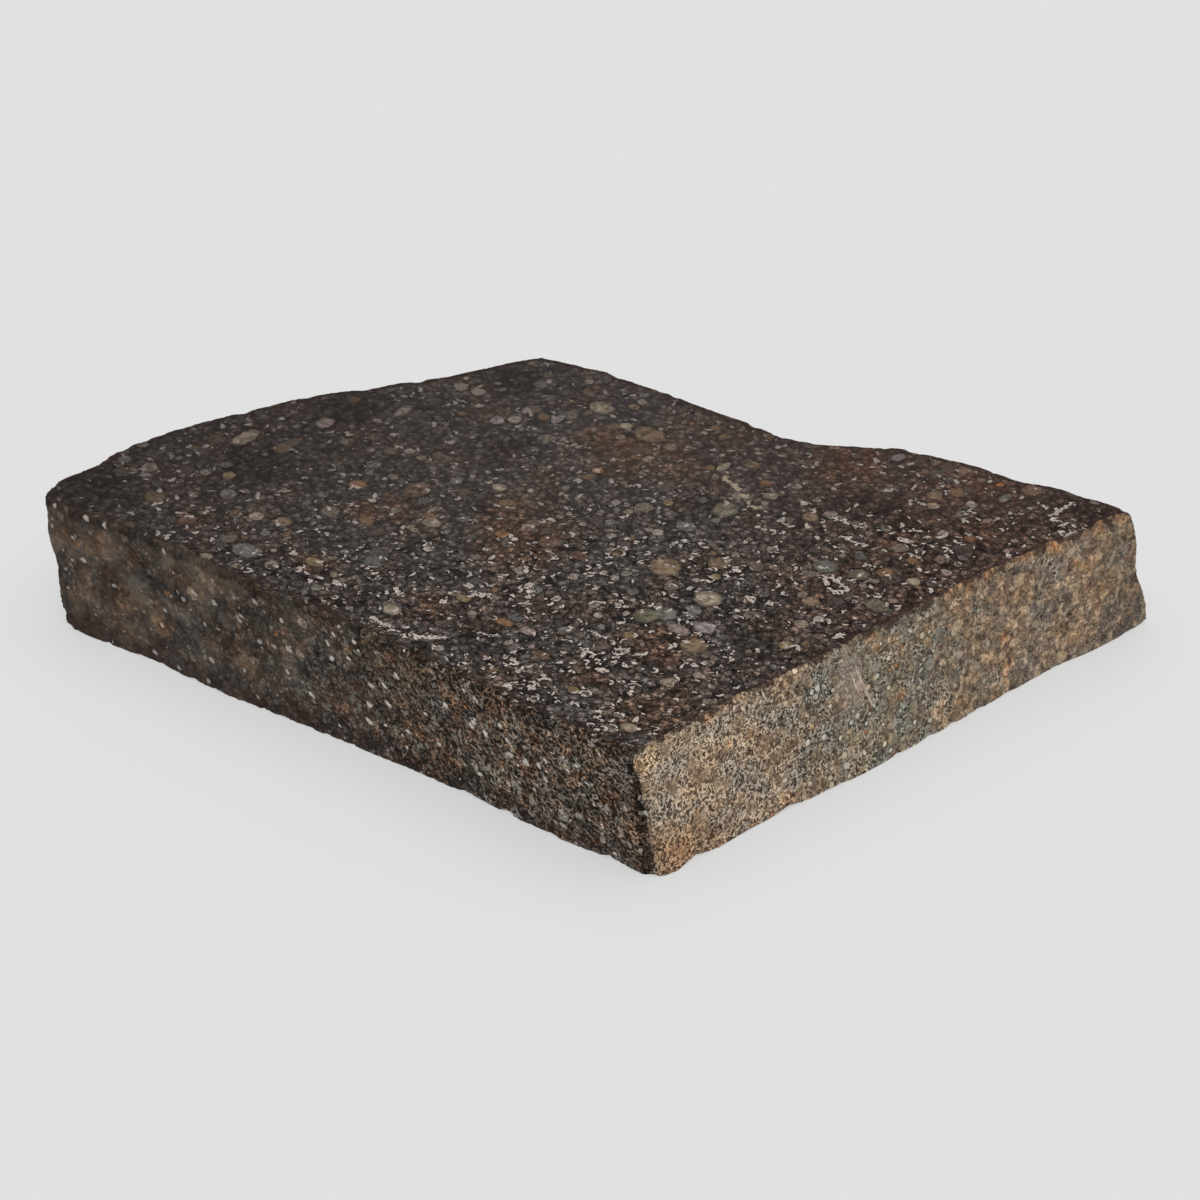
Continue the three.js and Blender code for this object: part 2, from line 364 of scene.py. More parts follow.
# Round chondrules of one size class: each cell of a scattered grid holds one ball, or none. Bars runs
# across a droplet as its own set of crystal bars.
chondrules, given, result = new_group(
    "chondrules of one size",
    {"Point": VECTOR, "Spacing": NUMBER, "Share": NUMBER, "Smallest": NUMBER, "Largest": NUMBER},
    {"Depth": NUMBER, "Tint": NUMBER, "Bars": NUMBER},
)
cells = add_node(
    chondrules,
    "ShaderNodeTexVoronoi",
    {"Vector": given["Point"], "Scale": reckon(chondrules, "DIVIDE", 1.0, given["Spacing"])},
    output=None,
)
luck = add_node(chondrules, "ShaderNodeSeparateColor", {0: cells["Color"]}, output=None)
local = triple(chondrules, "SUBTRACT", given["Point"], cells["Position"])
distance = triple(chondrules, "LENGTH", local, output=1)
MOSTLY_SMALL = 1.8
reach = reckon(chondrules, "POWER", luck["Red"], MOSTLY_SMALL)
radius = fade(chondrules, reach, 0.0, 1.0, given["Smallest"], given["Largest"], smooth=False)
absent = reckon(chondrules, "GREATER_THAN", luck["Blue"], given["Share"])
depth = reckon(chondrules, "SUBTRACT", reckon(chondrules, "SUBTRACT", radius, distance), absent)
feed(chondrules, depth, result["Depth"])
feed(chondrules, luck["Green"], result["Tint"])
way = triple(chondrules, "SUBTRACT", cells["Color"], (0.5, 0.5, 0.5))
swing = triple(chondrules, "DOT_PRODUCT", local, way, output=1)
BARS_PER_MM = 60.0
bars = reckon(chondrules, "SINE", times(chondrules, swing, BARS_PER_MM))
feed(chondrules, bars, result["Bars"])


def droplets(tree, point, spacing, share, smallest, largest):
    """Chondrules of one size class: the mm from cell to cell, the share of the cells that hold one, and
    the radii. Gives how deep in one a point is, its tint and its bars."""
    sizes = {"Spacing": spacing, "Share": share, "Smallest": smallest, "Largest": largest}
    return use_group(tree, chondrules, {"Point": point, **sizes})


# The whole stone, in mm: its colour, where it is metal, and its crumbs. Its stains and districts follow
# Point, and its grains follow Fabric, which a finish can draw out. Wander frays an edge.
stone, given, result = new_group(
    "chondrite stone",
    {"Point": VECTOR, "Fabric": VECTOR},
    {"Colour": COLOUR, "Metal": NUMBER, "Crumb": NUMBER, "Wander": VECTOR, "Dullness": NUMBER},
)
point = given["Point"]
WANDER, DRIFT = 0.3, 3.6
wobble = cloud(stone, given["Fabric"], 1.9, output=1)
wander = triple(stone, "MULTIPLY_ADD", wobble, (WANDER,) * 3, (-WANDER / 2,) * 3)
bent = triple(stone, "ADD", given["Fabric"], wander)
feed(stone, wander, result["Wander"])
# Away from the near corner the stone is duller, with less of its fine contrast.
TO_NEAR_CORNER = (0.62, -0.7, 0.0)
dullness = fade(stone, triple(stone, "DOT_PRODUCT", point, TO_NEAR_CORNER, output=1), 16.0, -12.0)
softness = fade(stone, dullness, 0.0, 1.0, 0.018, 0.075)
feed(stone, dullness, result["Dullness"])

# Large soft stains, by where they lie on the top: brown ones where iron has rusted, dark ones with
# little metal, and places with a lot of it. A stain is (x, y, reach).
BROWN_STAINS = [
    (-0.4, 6.0, 4.6), (-4.3, 5.6, 2.4), (-0.8, -6.2, 4.8), (10.8, 13.2, 3.2), (18.3, 16.2, 3.2),
    (21.5, 11.0, 2.6), (12.4, -11.6, 3.4), (16.6, -17.2, 4.0), (-9.8, -9.2, 2.2), (-18.5, -17.6, 1.8),
    (18.0, 7.2, 1.7), (-0.3, -15.8, 1.6), (11.6, -16.2, 2.4), (-8.6, -16.4, 1.8),
]
DARK_STAINS = [
    (-26.0, -18.0, 4.4), (-12.8, 8.4, 3.2), (13.2, 9.0, 2.6), (15.8, 9.6, 2.0), (25.9, 17.4, 3.0),
    (3.4, -16.6, 3.4), (-3.5, -18.4, 1.6), (17.2, -7.6, 2.8), (-20.0, -10.2, 4.0), (-18.5, -1.0, 3.4),
    (21.8, 7.8, 1.9), (5.8, 3.0, 1.9), (-8.2, 1.6, 2.6), (8.0, -6.8, 2.0), (-4.6, -5.4, 1.6),
]
METAL_SPOTS = [
    (-0.6, -2.8, 1.4), (1.2, -8.6, 1.0), (1.0, -13.1, 1.3), (11.6, -13.3, 1.6), (17.4, 8.4, 1.6),
    (20.6, 6.8, 2.0), (19.3, 8.0, 1.2), (7.6, -17.4, 1.7), (10.2, -14.8, 2.3), (17.6, 0.6, 1.8),
    (14.2, 11.7, 1.1), (4.4, -19.6, 2.0), (-9.4, -18.8, 1.2), (9.8, -19.4, 1.9), (14.4, -4.8, 2.1),
    (11.4, -2.2, 2.0), (8.8, 0.2, 1.6), (10.2, -10.2, 1.5), (15.2, -19.8, 1.6), (17.4, -7.4, 1.5),
]
drift = triple(stone, "SUBTRACT", cloud(stone, point, 0.42, output=1), (0.5, 0.5, 0.5))
drift = triple(stone, "MULTIPLY_ADD", drift, (DRIFT,) * 3, point)


def stain_share(spots):
    """How strongly the drifting point lies in any of the spots, 0 to 1."""
    nearest = FAR_OFF
    for x, y, reach in spots:
        away = triple(stone, "DISTANCE", drift, (x, y, thickness), output=1)
        nearest = reckon(stone, "MINIMUM", nearest, reckon(stone, "DIVIDE", away, reach))
    return fade(stone, nearest, 1.0, 0.25)


browned = stain_share(BROWN_STAINS)
darkened = stain_share(DARK_STAINS)
metal_rich = stain_share(METAL_SPOTS)

# Matrix: interwoven broken crystals, in grey districts and in brown ones.
GREY_STRANDS = tones(
    (0, 104, 98, 94), (0.22, 34, 32, 33), (0.42, 84, 79, 76), (0.54, 32, 30, 31), (0.72, 98, 92, 88),
    (1, 38, 36, 37),
)
BROWN_STRANDS = tones(
    (0, 114, 94, 82), (0.22, 38, 31, 30), (0.42, 94, 77, 67), (0.54, 35, 29, 28), (0.72, 112, 91, 76),
    (1, 44, 36, 34),
)
FLAT_GREY, FLAT_BROWN = paint(56, 52, 51), paint(68, 57, 51)
TO_FAR_RIGHT = (0.7, 0.7, 0.0)
district = cloud(stone, point, 0.2, 2.0, 0.6)
brownness = reckon(stone, "ADD", fade(stone, district, 0.44, 0.62, 0.08, 0.62), times(stone, browned, 0.7))
redness = fade(stone, triple(stone, "DOT_PRODUCT", point, TO_FAR_RIGHT, output=1), 3.0, 20.0)
brownness = reckon(stone, "ADD", brownness, times(stone, redness, 0.6))
fabric = cloud(stone, bent, 2.1, 1.0, 0.5, 0.3)
strand = fade(stone, fabric, 0.25, 0.75, smooth=False)
colour = blend(stone, brownness, ramp(stone, strand, GREY_STRANDS), ramp(stone, strand, BROWN_STRANDS))
flat_colour = blend(stone, brownness, FLAT_GREY, FLAT_BROWN)
colour = blend(stone, times(stone, dullness, 0.7), colour, flat_colour)
crumb = cloud(stone, given["Fabric"], 6.5, 2.0, 0.6)
calmed = times(stone, dullness, 0.85)
crumb = add_node(stone, "ShaderNodeMix", {0: calmed, 2: crumb, 3: 0.5}, data_type="FLOAT")
feed(stone, crumb, result["Crumb"])
GRAINS_PER_MM = 2.3
grains = add_node(stone, "ShaderNodeTexVoronoi", {"Vector": bent, "Scale": GRAINS_PER_MM}, output=None)
grain_luck = add_node(stone, "ShaderNodeSeparateColor", {0: grains["Color"]}, output=None)
few_bright = reckon(stone, "POWER", grain_luck["Red"], MOSTLY_SMALL)
grain_shade = fade(stone, few_bright, 0.0, 1.0, 0.72, 2.0, smooth=False)
gap_shade = fade(stone, grains["Distance"], 0.28, 0.62, 1.15, 0.42)
crumb_shade = fade(stone, crumb, 0.38, 0.62, 0.66, 1.34, smooth=False)
colour = dim(stone, colour, times(stone, times(stone, grain_shade, gap_shade), crumb_shade))

# Chondrules in three sizes, each with its own run of colours and a dark seam round it. A layer is
# (spacing, share, smallest, largest, colours).
SMALL_COLOURS = tones(
    (0, 62, 57, 55), (0.14, 92, 81, 73), (0.28, 80, 77, 74), (0.42, 114, 104, 99), (0.54, 72, 61, 56),
    (0.64, 104, 100, 95), (0.76, 124, 114, 108), (0.86, 100, 83, 65), (0.93, 138, 128, 122),
    (0.98, 134, 97, 64),
)
MIDDLE_COLOURS = tones(
    (0, 68, 62, 60), (0.18, 88, 77, 69), (0.32, 100, 96, 91), (0.46, 76, 64, 58), (0.58, 112, 101, 90),
    (0.7, 74, 74, 73), (0.8, 122, 112, 104), (0.89, 100, 81, 63), (0.96, 132, 123, 117),
)
LARGE_COLOURS = tones(
    (0, 70, 65, 62), (0.22, 92, 81, 71), (0.4, 78, 70, 66), (0.58, 98, 90, 81), (0.74, 84, 84, 81),
    (0.88, 102, 87, 71),
)
LAYERS = [
    (0.7, 0.7, 0.12, 0.3, SMALL_COLOURS),
    (1.4, 0.7, 0.25, 0.52, MIDDLE_COLOURS),
    (3.1, 0.3, 0.45, 0.8, LARGE_COLOURS),
]
LAYER_SHIFT = Vector((13.7, 5.1, 8.3))
SEAM_SHADE = 0.5
fray = reckon(stone, "MULTIPLY_ADD", strand, 0.16, -0.08)
rims = 0.0
for number, (*sizes, colours) in enumerate(LAYERS):
    balls = droplets(stone, triple(stone, "ADD", bent, LAYER_SHIFT * number), *sizes)
    barred = reckon(stone, "ADD", crumb, times(stone, balls["Bars"], 0.05))
    weave = fade(stone, barred, 0.38, 0.62, 0.6, 1.3)
    body = dim(stone, ramp(stone, balls["Tint"], colours, stepped=True), weave)
    inwards = reckon(stone, "ADD", balls["Depth"], fray)
    edged = dim(stone, colour, fade(stone, inwards, -0.13, -0.02, 1.0, SEAM_SHADE))
    frayed = reckon(stone, "ADD", softness, 0.012)
    colour = blend(stone, fade(stone, inwards, times(stone, frayed, -1.0), frayed), edged, body)
    from_rim = reckon(stone, "ABSOLUTE", balls["Depth"])
    rim = reckon(stone, "SUBTRACT", 1.0, times(stone, from_rim, 12.0))
    rims = reckon(stone, "MAXIMUM", rims, rim)

colour = blend(stone, times(stone, dullness, 0.38), colour, flat_colour)
RUST_TINT, FAR_RIGHT_TINT = (1.1, 0.98, 0.88), (0.88, 0.80, 0.81)
warmed = triple(stone, "MULTIPLY", colour, RUST_TINT)
colour = blend(stone, times(stone, browned, 0.75), colour, warmed)
colour = dim(stone, colour, fade(stone, darkened, 0.0, 1.0, 1.0, 0.62, smooth=False))
colour = blend(stone, redness, colour, triple(stone, "MULTIPLY", colour, FAR_RIGHT_TINT))

# Metal and sulphide: each cell of a scattered grid holds a bent sliver, a broken ring or a blob, or
# nothing, and where metal is plentiful crooked threads join them. A dark seam runs round it all.
slivers, sliver_given, sliver_result = new_group(
    "metal slivers",
    {"Point": VECTOR, "Spacing": NUMBER, "Share": NUMBER, "Thickness": NUMBER},
    {"Depth": NUMBER},
)
cells = add_node(
    slivers,
    "ShaderNodeTexVoronoi",
    {"Vector": sliver_given["Point"], "Scale": reckon(slivers, "DIVIDE", 1.0, sliver_given["Spacing"])},
    output=None,
)
luck = add_node(slivers, "ShaderNodeSeparateColor", {0: cells["Color"]}, output=None)
local = triple(slivers, "SUBTRACT", sliver_given["Point"], cells["Position"])
distance = triple(slivers, "LENGTH", local, output=1)
LARGEST_BEND = 0.38
bend = times(slivers, luck["Red"], times(slivers, sliver_given["Spacing"], LARGEST_BEND))
off_arc = reckon(slivers, "ABSOLUTE", reckon(slivers, "SUBTRACT", distance, bend))
arc = reckon(slivers, "SUBTRACT", sliver_given["Thickness"], off_arc)
way = triple(slivers, "NORMALIZE", triple(slivers, "SUBTRACT", cells["Color"], (0.5, 0.5, 0.5)))
cut_at = reckon(slivers, "MULTIPLY_ADD", luck["Green"], 0.14, -0.07)
cut = reckon(slivers, "ADD", triple(slivers, "DOT_PRODUCT", local, way, output=1), cut_at)
absent = reckon(slivers, "GREATER_THAN", luck["Blue"], sliver_given["Share"])
depth = reckon(slivers, "SUBTRACT", reckon(slivers, "MINIMUM", arc, cut), absent)
feed(slivers, depth, sliver_result["Depth"])

grouping = cloud(stone, point, 1.3, 2.0, 0.55)
grouped = fade(stone, grouping, 0.38, 0.64, 0.14, 0.7, smooth=False)
rich = reckon(stone, "SUBTRACT", times(stone, metal_rich, 0.25), times(stone, darkened, 0.3))
thinning = times(stone, dullness, -0.15)
share = reckon(stone, "ADD", grouped, reckon(stone, "ADD", rich, thinning))
# Above one share of metal the slivers are joined by threads, and above another chondrules have rings.
THREADED_ABOVE, RINGED_ABOVE, THREAD_WIDTH = 0.78, 0.62, 0.085
crook = cloud(stone, bent, 1.9, 0.5, 0.5)
off_thread = reckon(stone, "ABSOLUTE", reckon(stone, "SUBTRACT", crook, 0.5))
threaded = reckon(stone, "SUBTRACT", share, THREADED_ABOVE)
within = times(stone, reckon(stone, "SUBTRACT", THREAD_WIDTH, off_thread), 0.9)
metal_depth = reckon(stone, "MINIMUM", within, threaded)
SLIVER_SIZES = [(0.6, 0.078), (0.9, 0.105)]
for number, (spacing, girth) in enumerate(SLIVER_SIZES):
    shifted = triple(stone, "ADD", bent, (9.3 + 6.1 * number, 17.0, 23.0))
    sliver = use_group(stone, slivers, {
        "Point": shifted,
        "Spacing": spacing,
        "Share": share,
        "Thickness": fade(stone, dullness, 0.0, 1.0, girth, girth + 0.05),
    })
    metal_depth = reckon(stone, "MAXIMUM", metal_depth, sliver["Depth"])
ring = times(stone, reckon(stone, "SUBTRACT", rims, 0.4), 0.08)
ring = reckon(stone, "MINIMUM", ring, reckon(stone, "SUBTRACT", share, RINGED_ABOVE))
metal_depth = reckon(stone, "MAXIMUM", metal_depth, ring)
metal = fade(stone, metal_depth, times(stone, softness, -1.0), softness)
metal = times(stone, metal, fade(stone, dullness, 0.1, 1.0, 1.0, 0.45))
colour = dim(stone, colour, fade(stone, metal_depth, -0.13, -0.03, 1.0, 0.35))
TO_LEFT = (-1.0, -0.2, 0.0)
leftward = triple(stone, "DOT_PRODUCT", point, TO_LEFT, output=1)
colour = dim(stone, colour, fade(stone, leftward, 4.0, 27.0, 1.0, 0.72))
feed(stone, colour, result["Colour"])
feed(stone, metal, result["Metal"])


def new_finish(name, **shader_values):
    """A material whose shader has plain values where given; gives its tree, its shader, and the place
    in the stone in mm."""
    material = bpy.data.materials.new(name)
    material.use_nodes = True
    tree = material.node_tree
    shader = tree.nodes["Principled BSDF"]
    for socket_name, value in shader_values.items():
        shader.inputs[socket_name.replace("_", " ")].default_value = value
    place = add_node(tree, "ShaderNodeTexCoord", {}, output=3)
    scaled = dim(tree, place, 1 / MM)
    slab_mesh.materials.append(material)
    return tree, shader, scaled


def roughen(tree, shader, height, depth):
    """Bumps a finish by a height from 0 to 1 that stands for so many mm."""
    values = {"Height": height, "Distance": depth * MM, "Strength": 1.0}
    feed(tree, add_node(tree, "ShaderNodeBump", values), shader.inputs["Normal"])


# The polished top, ground flat and rubbed to a low shine, so that the stone shows at its darkest. The
# chondrules and grains that stand out are laid in where they are, by colour: (x, y, half x, half y).
TAN, PALE, OLIVE, LILAC = paint(112, 96, 78), paint(132, 121, 105), paint(96, 92, 78), paint(136, 128, 127)
GREY, PINK, BROWN, CREAM = paint(98, 98, 94), paint(120, 107, 103), paint(88, 69, 58), paint(144, 134, 116)
ORANGE, YELLOW = paint(116, 87, 64), paint(120, 105, 80)
TOP_FEATURES = {
    PALE: [
        (12.25, -5.2, 0.85, 0.75), (16.4, -19.1, 0.5, 0.4), (-6.3, -8.5, 0.6, 0.5),
        (-2.1, -17.7, 0.62, 0.45), (-15.4, -14.5, 0.5, 0.45), (21.1, 3.9, 0.45, 0.42),
        (-22.1, -7.6, 0.55, 1.1), (-6.3, 9.3, 0.85, 0.65),
    ],
    LILAC: [
        (13.95, -7.95, 0.62, 0.6), (18.8, -3.05, 0.35, 0.35), (12.5, 15.75, 0.35, 0.5),
        (19.2, 13.7, 0.36, 0.36), (-7.6, 6.4, 0.3, 0.65), (-10.6, 3.9, 0.5, 0.45),
    ],
    GREY: [
        (11.2, -8.1, 0.72, 0.66), (12.3, -6.75, 0.55, 0.4), (7.35, -13.2, 0.35, 0.35),
        (-13.3, -17.9, 0.95, 0.7), (-13.5, -5.2, 0.5, 0.45), (-8.1, -3.6, 0.35, 0.5),
        (20.5, 15.6, 0.28, 0.6), (15.9, 2.1, 0.7, 0.65), (6.5, 0.75, 0.6, 0.55),
        (-18.5, -13.5, 0.55, 0.55),
    ],
    OLIVE: [
        (10.35, -9.0, 0.75, 0.7), (7.3, 3.8, 0.75, 0.9), (18.0, 2.6, 0.6, 0.55), (20.75, 0.3, 0.75, 0.6),
    ],
    TAN: [
        (8.15, -3.9, 0.95, 0.95), (10.5, -1.55, 0.6, 0.6), (14.5, -9.9, 0.75, 0.75),
        (17.35, -1.7, 0.55, 0.5), (-13.7, -14.0, 0.6, 0.55), (5.6, 9.35, 0.45, 0.42),
        (12.0, 6.3, 0.5, 0.5), (16.8, 13.2, 0.5, 0.5), (-1.8, 8.4, 1.1, 0.8), (-4.6, 10.7, 0.4, 0.36),
    ],
    YELLOW: [
        (11.2, -2.95, 0.32, 0.36), (18.8, -6.6, 0.42, 0.42), (11.7, -18.0, 0.45, 0.3),
        (10.85, -11.3, 0.42, 0.4), (0.55, -14.1, 0.42, 0.36), (-9.2, -16.4, 0.6, 0.4),
        (4.0, 2.3, 0.35, 0.35), (-19.9, -11.8, 0.42, 0.4),
    ],
    PINK: [
        (12.8, -9.05, 0.7, 0.45), (5.75, -14.6, 0.5, 0.4), (-19.2, -3.1, 0.55, 0.65),
        (-24.5, -14.1, 0.55, 0.5), (-16.2, 1.1, 0.4, 0.8),
    ],
    ORANGE: [
        (12.1, -9.8, 0.45, 0.16), (4.1, -14.7, 0.6, 0.35), (-12.8, -7.75, 0.55, 0.5),
        (-2.0, -6.9, 0.45, 0.4), (7.5, 8.0, 0.4, 0.3), (19.2, 3.7, 0.45, 0.42), (-1.8, 2.8, 0.4, 0.36),
    ],
    BROWN: [
        (7.9, -16.2, 0.6, 0.4), (-9.4, -6.0, 0.75, 1.0), (0.85, -5.9, 0.75, 0.7), (3.2, -6.0, 0.55, 0.5),
        (-18.5, -17.4, 0.5, 0.65), (-8.1, 10.8, 0.5, 0.65),
    ],
    CREAM: [
        (-5.5, -2.6, 0.45, 0.4), (-14.8, -19.9, 0.4, 0.36), (17.4, 12.1, 0.4, 0.36),
        (-3.6, 8.4, 0.4, 0.36), (4.3, 8.0, 0.28, 0.65),
    ],
}
# Veins of metal and of pale mineral: (from, to, half width).
METAL_VEINS = [
    ((-2.5, -19.1), (0.1, -19.4), 0.17), ((0.1, -19.4), (1.8, -18.6), 0.2),
    ((1.3, -18.8), (2.4, -18.1), 0.13), ((-0.2, -19.3), (1.2, -19.0), 0.16),
    ((3.2, -16.6), (4.4, -16.2), 0.14), ((8.6, -12.4), (9.8, -12.4), 0.1),
    ((13.2, 7.1), (15.3, 7.2), 0.12), ((14.9, 5.6), (16.6, 5.5), 0.1),
    ((24.0, 16.0), (24.1, 17.6), 0.16), ((24.2, 15.3), (26.2, 15.5), 0.1),
    ((26.2, 15.5), (25.8, 13.8), 0.1), ((-6.9, -17.3), (-6.0, -17.5), 0.17),
    ((2.8, -10.4), (3.5, -11.5), 0.15), ((-3.4, -15.7), (-2.6, -16.3), 0.2),
]
PALE_VEINS = [((5.1, 7.0), (6.6, 6.2), 0.13), ((7.1, 5.9), (8.6, 5.1), 0.16)]
tree, shader, point = new_finish("polished top", IOR=1.5, Specular_IOR_Level=0.04)
grains = use_group(tree, stone, {"Point": point, "Fabric": point})
bent = triple(tree, "ADD", point, grains["Wander"])
placed = {
    tone: [((x, y, thickness), (half_x, half_y, min(half_x, half_y))) for x, y, half_x, half_y in spots]
    for tone, spots in TOP_FEATURES.items()
}
weaving = cloud(tree, bent, 2.6, 2.0, 0.6)
feature_share = fade(tree, grains["Dullness"], 0.0, 1.0, 0.78, 0.5)
top_colour, nearest = lay(tree, grains["Colour"], bent, weaving, placed, 0.22, feature_share)
inside = fade(tree, nearest, 1.2, 0.8)
woven = fade(tree, weaving, 0.4, 0.6, 0.6, 1.3, smooth=False)
woven = add_node(tree, "ShaderNodeMix", {0: inside, 2: 1.0, 3: woven}, data_type="FLOAT")
top_colour = dim(tree, top_colour, woven)
outline = times(tree, fade(tree, nearest, 1.5, 1.15), fade(tree, nearest, 0.95, 1.1))
top_colour = dim(tree, top_colour, fade(tree, outline, 0.0, 1.0, 1.0, 0.65))
top_metal = grains["Metal"]
beading = reckon(tree, "MULTIPLY_ADD", weaving, 1.3, -0.62)


def vein_edge(veins):
    """How far outside the nearest vein the surface is, in mm."""
    outside = FAR_OFF
    for start, end, half in veins:
        away = near_line(tree, bent, (*start, thickness), (*end, thickness))
        outside = reckon(tree, "MINIMUM", outside, reckon(tree, "SUBTRACT", away, half))
    return reckon(tree, "ADD", outside, beading)


outside = vein_edge(METAL_VEINS)
top_metal = reckon(tree, "MAXIMUM", top_metal, fade(tree, outside, 0.04, -0.03))
top_colour = dim(tree, top_colour, fade(tree, outside, 0.24, 0.06, 1.0, 0.55))
pale = fade(tree, vein_edge(PALE_VEINS), 0.08, -0.05, 0.0, 0.75)
top_colour = blend(tree, pale, top_colour, CREAM)
METAL_TONES = tones((0.38, 130, 121, 116), (0.5, 162, 152, 146), (0.62, 194, 184, 177))
top_colour = blend(tree, top_metal, top_colour, ramp(tree, grains["Crumb"], METAL_TONES))
# Dark edge round the top: weathered skin on the rim, and painted shade along the chipped sawn arrises.
skin = add_node(tree, "ShaderNodeAttribute", {}, output=2, attribute_name="skin")
skin = fade(tree, reckon(tree, "ADD", skin, weaving), 0.85, 1.3)
skin = times(tree, skin, fade(tree, grains["Crumb"], 0.42, 0.58, 0.9, 0.45))
DARK_SKIN_AND_SHADE = paint(40, 28, 24)
top_colour = blend(tree, skin, top_colour, DARK_SKIN_AND_SHADE)
feed(tree, top_colour, shader.inputs["Base Color"])
feed(tree, fade(tree, top_metal, 0.0, 1.0, 0.42, 0.36, smooth=False), shader.inputs["Roughness"])
feed(tree, times(tree, top_metal, 0.25), shader.inputs["Metallic"])


# The short wall, as the saw left it: matt, with pale stone flour caught in worm-like lines between
# its grains, rust spots, and cream and grey patches. By tint, its features are (y, height, half size).
RUSTY, HONEY, FAWN = (1.12, 0.74, 0.52, 1), (1.9, 1.3, 0.8, 1), (1.25, 1.05, 0.88, 1)
CREAMY, SLATE = (1.4, 1.36, 1.2, 1), (0.82, 0.9, 0.98, 1)
SHORT_FEATURES = {
    RUSTY: [
        (-18.3, 2.8, 0.3), (-15.6, 0.9, 0.42), (-14.0, 2.5, 0.25), (-12.4, 0.2, 0.4), (-16.6, 3.0, 0.25),
        (-13.8, 6.3, 0.22), (-7.4, 7.5, 0.28), (-15.2, 8.7, 0.5), (-5.6, 2.0, 0.3), (-2.2, 7.9, 0.36),
        (10.5, 8.7, 0.5), (12.9, 8.7, 0.5), (8.4, 4.2, 0.5), (14.5, 7.0, 0.3), (-0.5, 3.8, 0.26),
        (-1.2, 0.2, 0.42),
    ],
    FAWN: [
        (-4.5, 2.1, 0.3), (7.6, 5.8, 0.5), (2.9, 1.6, 0.42), (-9.8, 0.8, 0.6), (-4.7, 0.2, 0.36),
        (16.4, 3.0, 0.55), (8.6, 1.8, 0.5),
    ],
    HONEY: [(-2.55, 8.95, 0.6)],
    CREAMY: [(-19.7, 8.1, 0.7), (-7.4, 8.2, 0.3), (2.6, 5.8, 0.4), (3.9, 4.7, 0.55), (-1.6, 1.4, 0.36)],
    SLATE: [(-14.1, 5.5, 0.6), (-5.5, 4.7, 0.5), (18.2, 2.5, 0.9)],
}
WORMS = tones(
    (0, 226, 216, 202), (0.16, 120, 110, 101), (0.26, 38, 32, 30), (0.35, 124, 114, 104),
    (0.47, 230, 220, 206), (0.58, 118, 108, 99), (0.66, 38, 32, 30), (0.75, 122, 112, 102),
    (0.88, 220, 209, 194), (1, 110, 101, 93),
)
CALM_TONES = tones(
    (0.38, 76, 68, 64), (0.45, 136, 124, 114), (0.51, 106, 99, 94), (0.57, 162, 148, 133),
    (0.65, 206, 190, 170),
)
tree, shader, point = new_finish("short sawn wall", IOR=1.5, Specular_IOR_Level=0.05, Roughness=0.85)
grains = use_group(tree, stone, {"Point": point, "Fabric": point})
bent = triple(tree, "ADD", point, grains["Wander"])
worm = cloud(tree, bent, 2.2, 2.0, 0.6, 0.2)
wall_colour = ramp(tree, fade(tree, worm, 0.22, 0.78, smooth=False), WORMS)
along = axis_of(tree, point, Y)
calm = reckon(tree, "ADD", cloud(tree, point, 0.8, 1.0), fade(tree, along, -10.0, 14.0, -0.04, 0.24))
calm_colour = ramp(tree, cloud(tree, bent, 1.8, 2.5, 0.6), CALM_TONES)
wall_colour = blend(tree, fade(tree, calm, 0.45, 0.66, 0.0, 0.75), wall_colour, calm_colour)
grain_share = fade(tree, along, -16.0, -6.0, 0.2, 0.42)
wall_colour = blend(tree, grain_share, wall_colour, dim(tree, grains["Colour"], 2.1))
wall_colour = crumble(tree, wall_colour, grains["Crumb"], 0.7, 1.2)
# Whole grains stand out on it: small bright ones first, then larger chondrules towards the far end. A
# layer is (spacing, share, smallest, largest), its tones, over which y it comes and over which it goes,
# how strong it is, and how dark the seam round its grains is.
GRIT_TONES = tones(
    (0, 206, 202, 194), (0.2, 150, 142, 132), (0.38, 216, 208, 196), (0.56, 112, 106, 100),
    (0.7, 196, 184, 166), (0.84, 176, 154, 126), (0.95, 160, 116, 82),
)
BALL_TONES = tones(
    (0, 158, 148, 134), (0.2, 132, 122, 112), (0.36, 172, 158, 140), (0.54, 124, 120, 114),
    (0.68, 164, 141, 116), (0.82, 180, 170, 154), (0.94, 150, 123, 96),
)
SHORT_LAYERS = [
    ((0.58, 0.75, 0.12, 0.25), GRIT_TONES, (-14.0, -8.0), (-1.0, 7.0), 0.9, 0.66),
    ((1.2, 0.6, 0.28, 0.55), BALL_TONES, (-7.0, 4.0), (19.0, 25.0), 0.52, 0.45),
]
for sizes, colours, comes, goes, strength, darkness in SHORT_LAYERS:
    balls = droplets(tree, bent, *sizes)
    presence = times(tree, fade(tree, along, *comes, 0.15, strength), fade(tree, along, *goes, 1.0, 0.3))
    seam = fade(tree, balls["Depth"], -0.12, -0.02, 0.0, darkness)
    wall_colour = dim(tree, wall_colour, reckon(tree, "SUBTRACT", 1.0, times(tree, seam, presence)))
    tone = crumble(tree, ramp(tree, balls["Tint"], colours, stepped=True), grains["Crumb"], 0.72, 1.15)
    over = times(tree, fade(tree, balls["Depth"], -0.03, 0.04), presence)
    wall_colour = blend(tree, over, wall_colour, tone)
SHORT_PATCHES = tones(
    (0.36, 216, 222, 224), (0.46, 230, 228, 222), (0.56, 248, 240, 226), (0.68, 232, 220, 204),
)
wall_colour = tint(tree, wall_colour, ramp(tree, cloud(tree, point, 0.4, 2.0, 0.6), SHORT_PATCHES))
MOTTLES = tones(
    (0.36, 196, 196, 194), (0.44, 226, 225, 220), (0.56, 234, 229, 220), (0.66, 250, 243, 234),
)
MOTTLE_LIFT = (1.16, 1.21, 1.3)
